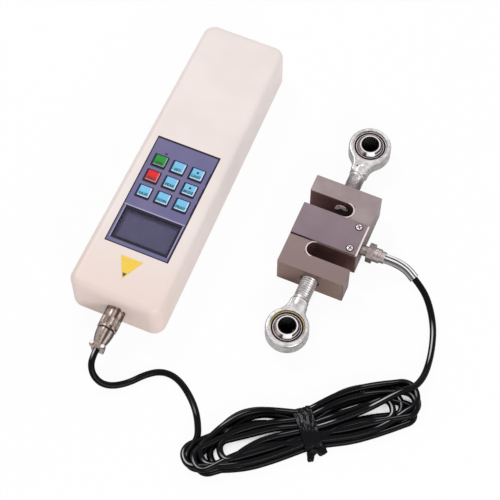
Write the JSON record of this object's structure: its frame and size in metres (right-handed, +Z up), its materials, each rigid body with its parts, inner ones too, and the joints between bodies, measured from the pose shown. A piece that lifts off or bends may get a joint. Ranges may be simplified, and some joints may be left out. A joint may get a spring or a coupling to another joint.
{
  "type": "force gauge",
  "caption": "Hand-held digital force gauge with keypad and display, plugged through a coiled cable to an S-type load cell with spherical rod ends.",
  "frame": {"origin": "under the middle of the meter's case, on the surface it lies on", "axes": "+Y along the case from its socket end to its grip end, +X towards the load cell, +Z up through the keys"},
  "size_m": [0.263, 0.3241, 0.0379],
  "materials": {
    "case_plastic": "smooth cream moulding",
    "panel_film": "satin printed film",
    "key_green": "satin",
    "key_red": "satin",
    "key_blue": "satin",
    "display_frame": "satin",
    "display_window": "clear gloss",
    "display_module": "gloss",
    "board": "solder mask",
    "components": "moulded",
    "lamp": "clear",
    "screws": "plated",
    "brass": "turned",
    "sticker": "printed film",
    "battery_wrap": "shrink wrap",
    "strap": "pressed",
    "nickel": "nickel plate",
    "jack": "moulded",
    "cable": "gloss PVC",
    "tie": "clear film over black",
    "wires": "PVC",
    "sleeve": "smooth spring sleeve",
    "gland": "turned",
    "beam_steel": "ground and plated",
    "cover_steel": "brushed",
    "gauge_foil": "foil on film",
    "rod_end_steel": "forged and plated",
    "liner": "sintered",
    "ball_chrome": "polished"
  },
  "bodies": {
    "meter": {"front_case": "case_plastic", "rear_case": "case_plastic", "panel_overlay": "panel_film", "display_bezel": "display_frame", "display_window": "display_window", "lcd_module": "display_module", "circuit_board": "board", "board_components": "components", "key_switches": "components", "status_lamp": "lamp", "board_screws": "screws", "case_screws": "screws", "stand_inserts": "brass", "pointer_sticker": "sticker", "battery_pack": "battery_wrap", "battery_strap": "strap", "strap_screws": "screws", "battery_wires": "wires", "socket_shell": "nickel", "socket_insulator": "components", "socket_washer": "nickel", "socket_nut": "nickel", "socket_wires": "wires", "charging_jack": "jack", "jack_nut": "jack"},
    "sensor": {"plug_barrel": "nickel", "plug_insulator": "components", "plug_pins": "brass", "plug_backshell": "nickel", "cable_clamp": "nickel", "clamp_screws": "screws", "meter_lead": "cable", "cable_hank": "cable", "hank_tie": "tie", "cell_lead": "cable", "lead_sleeve": "sleeve", "gland_body": "gland", "gland_nut": "gland", "s_beam": "beam_steel", "cover_plate": "cover_steel", "cover_screws": "cover_steel", "strain_gauges": "gauge_foil", "terminal_board": "board", "cell_wires": "wires"},
    "coupling_nut": {"coupling_nut": "nickel"},
    "rod_end_far": {"rod_end_far": "rod_end_steel", "liner_far": "liner"},
    "rod_end_near": {"rod_end_near": "rod_end_steel", "liner_near": "liner"},
    "ball_far": {"ball_far": "ball_chrome"},
    "ball_near": {"ball_near": "ball_chrome"},
    "key_power": {"key_power": "key_green"},
    "key_set": {"key_set": "key_blue"},
    "key_unit": {"key_unit": "key_blue"},
    "key_zero": {"key_zero": "key_red"},
    "key_peak": {"key_peak": "key_blue"},
    "key_mode": {"key_mode": "key_blue"},
    "key_save": {"key_save": "key_blue"},
    "key_down": {"key_down": "key_blue"},
    "key_print": {"key_print": "key_blue"}
  },
  "joints": [
    {"name": "plug_pull", "type": "slide", "parent": "meter", "child": "sensor", "axis": [0, -1, 0], "range_m": [0, 0.01]},
    {"name": "coupling_turn", "type": "hinge", "parent": "sensor", "child": "coupling_nut", "pos_m": [0.002, -0.128, 0.0185], "axis": [0, -1, 0], "continuous": true},
    {"name": "far_swivel", "type": "hinge", "parent": "sensor", "child": "rod_end_far", "pos_m": [0.1176, 0.0346, 0.0127], "axis": [0, 1, 0], "range_deg": [-90, 90]},
    {"name": "near_swivel", "type": "hinge", "parent": "sensor", "child": "rod_end_near", "pos_m": [0.1176, -0.0416, 0.0127], "axis": [0, 1, 0], "range_deg": [-90, 90]},
    {"name": "far_ball_tilt", "type": "hinge", "parent": "rod_end_far", "child": "ball_far", "pos_m": [0.1176, 0.0764, 0.0127], "axis": [1, 0, 0], "range_deg": [-13, 13]},
    {"name": "near_ball_tilt", "type": "hinge", "parent": "rod_end_near", "child": "ball_near", "pos_m": [0.1176, -0.0834, 0.0127], "axis": [1, 0, 0], "range_deg": [-13, 13]},
    {"name": "power_press", "type": "slide", "parent": "meter", "child": "key_power", "axis": [0, 0, -1], "range_m": [0, 0.0005], "stiffness_N_per_m": 1500},
    {"name": "set_press", "type": "slide", "parent": "meter", "child": "key_set", "axis": [0, 0, -1], "range_m": [0, 0.0005], "stiffness_N_per_m": 1500},
    {"name": "unit_press", "type": "slide", "parent": "meter", "child": "key_unit", "axis": [0, 0, -1], "range_m": [0, 0.0005], "stiffness_N_per_m": 1500},
    {"name": "zero_press", "type": "slide", "parent": "meter", "child": "key_zero", "axis": [0, 0, -1], "range_m": [0, 0.0005], "stiffness_N_per_m": 1500},
    {"name": "peak_press", "type": "slide", "parent": "meter", "child": "key_peak", "axis": [0, 0, -1], "range_m": [0, 0.0005], "stiffness_N_per_m": 1500},
    {"name": "mode_press", "type": "slide", "parent": "meter", "child": "key_mode", "axis": [0, 0, -1], "range_m": [0, 0.0005], "stiffness_N_per_m": 1500},
    {"name": "save_press", "type": "slide", "parent": "meter", "child": "key_save", "axis": [0, 0, -1], "range_m": [0, 0.0005], "stiffness_N_per_m": 1500},
    {"name": "down_press", "type": "slide", "parent": "meter", "child": "key_down", "axis": [0, 0, -1], "range_m": [0, 0.0005], "stiffness_N_per_m": 1500},
    {"name": "print_press", "type": "slide", "parent": "meter", "child": "key_print", "axis": [0, 0, -1], "range_m": [0, 0.0005], "stiffness_N_per_m": 1500}
  ]
}
